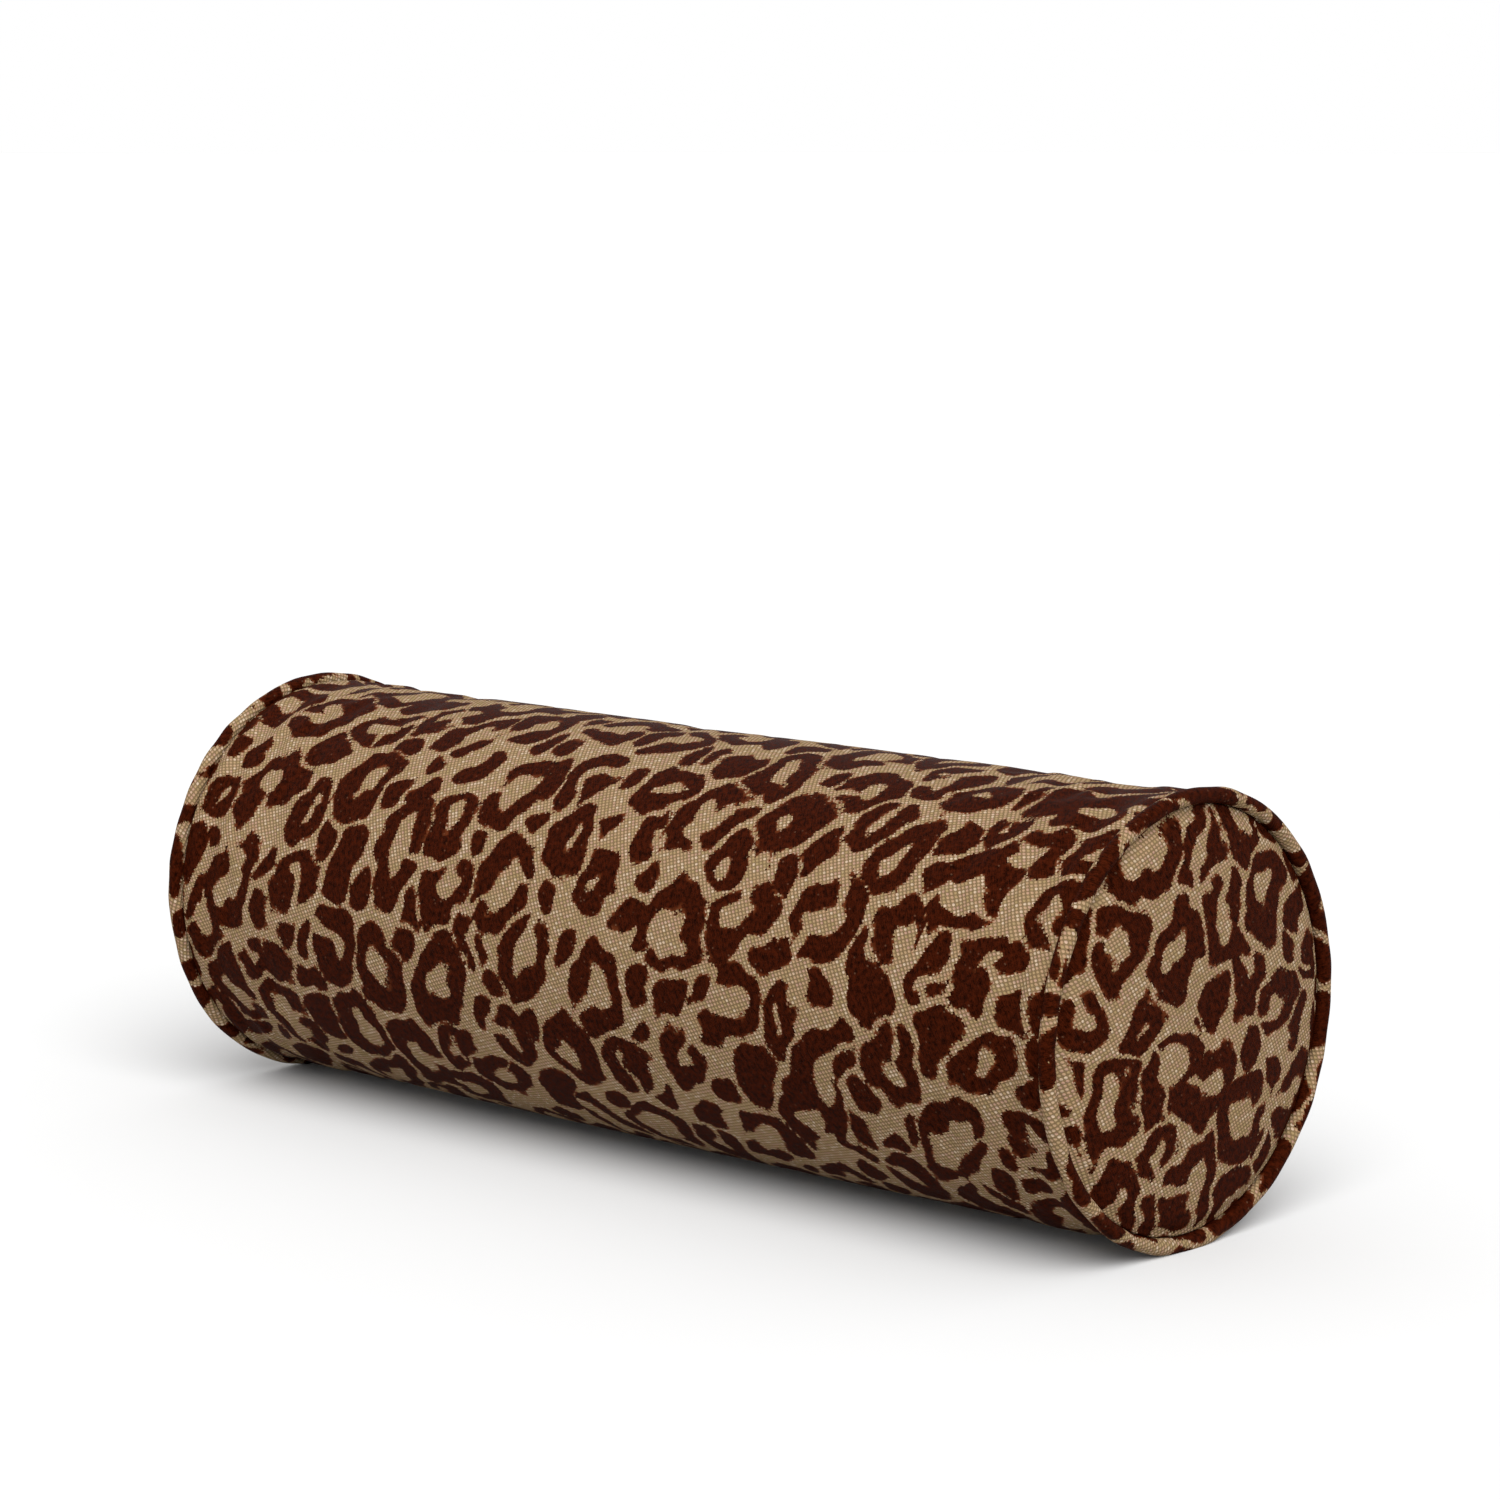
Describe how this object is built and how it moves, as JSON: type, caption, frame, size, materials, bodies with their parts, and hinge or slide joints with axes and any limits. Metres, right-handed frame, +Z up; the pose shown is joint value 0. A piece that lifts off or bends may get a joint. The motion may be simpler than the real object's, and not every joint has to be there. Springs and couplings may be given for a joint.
{
  "type": "bolster pillow",
  "caption": "Cylindrical bolster pillow: piped fabric cover with a zip along the back, over a separate foam insert.",
  "frame": {"origin": "centre of the bounding box, on the surface that the pillow rests on", "axes": "+X along the pillow, from the closed end of the zip outwards; +Y out of the back, through the zip; +Z up"},
  "size_m": [0.5214, 0.1852, 0.184],
  "materials": {
    "cover_fabric": "matte",
    "piping_cord": "matte",
    "zip_tape": "matte",
    "zip_coil": "satin",
    "zip_metal": "satin",
    "thread": "matte",
    "insert_casing": "matte",
    "batting": "matte",
    "foam": "matte",
    "label": "matte"
  },
  "bodies": {
    "pillow": {"barrel_panel": "cover_fabric", "end_panel_right": "cover_fabric", "end_panel_left": "cover_fabric", "piping_sleeve_right": "cover_fabric", "piping_sleeve_left": "cover_fabric", "piping_cord_right": "piping_cord", "piping_cord_left": "piping_cord", "zip_tape_upper": "zip_tape", "zip_tape_lower": "zip_tape", "zip_coil_upper": "zip_coil", "zip_coil_lower": "zip_coil", "zip_top_stop_upper": "zip_metal", "zip_top_stop_lower": "zip_metal", "zip_bottom_stop": "zip_metal", "zip_stitching_upper": "thread", "zip_stitching_lower": "thread", "zip_bartack_right": "thread", "zip_bartack_left": "thread", "insert_barrel_casing": "insert_casing", "insert_end_casing_right": "insert_casing", "insert_end_casing_left": "insert_casing", "batting_wrap": "batting", "batting_end_pad_right": "batting", "batting_end_pad_left": "batting", "foam_core": "foam", "care_label": "label"},
    "zip_slider": {"zip_slider": "zip_metal"},
    "zip_pull_tab": {"zip_pull_tab": "zip_metal"}
  },
  "joints": [
    {"name": "slider_travel", "type": "slide", "parent": "pillow", "child": "zip_slider", "axis": [-1, 0, 0], "range_m": [0, 0.3904]},
    {"name": "pull_tab_tilt", "type": "hinge", "parent": "zip_slider", "child": "zip_pull_tab", "pos_m": [0.1952, 0.09072, 0.0914], "axis": [0, 0, -1], "range_deg": [0, 178]}
  ]
}
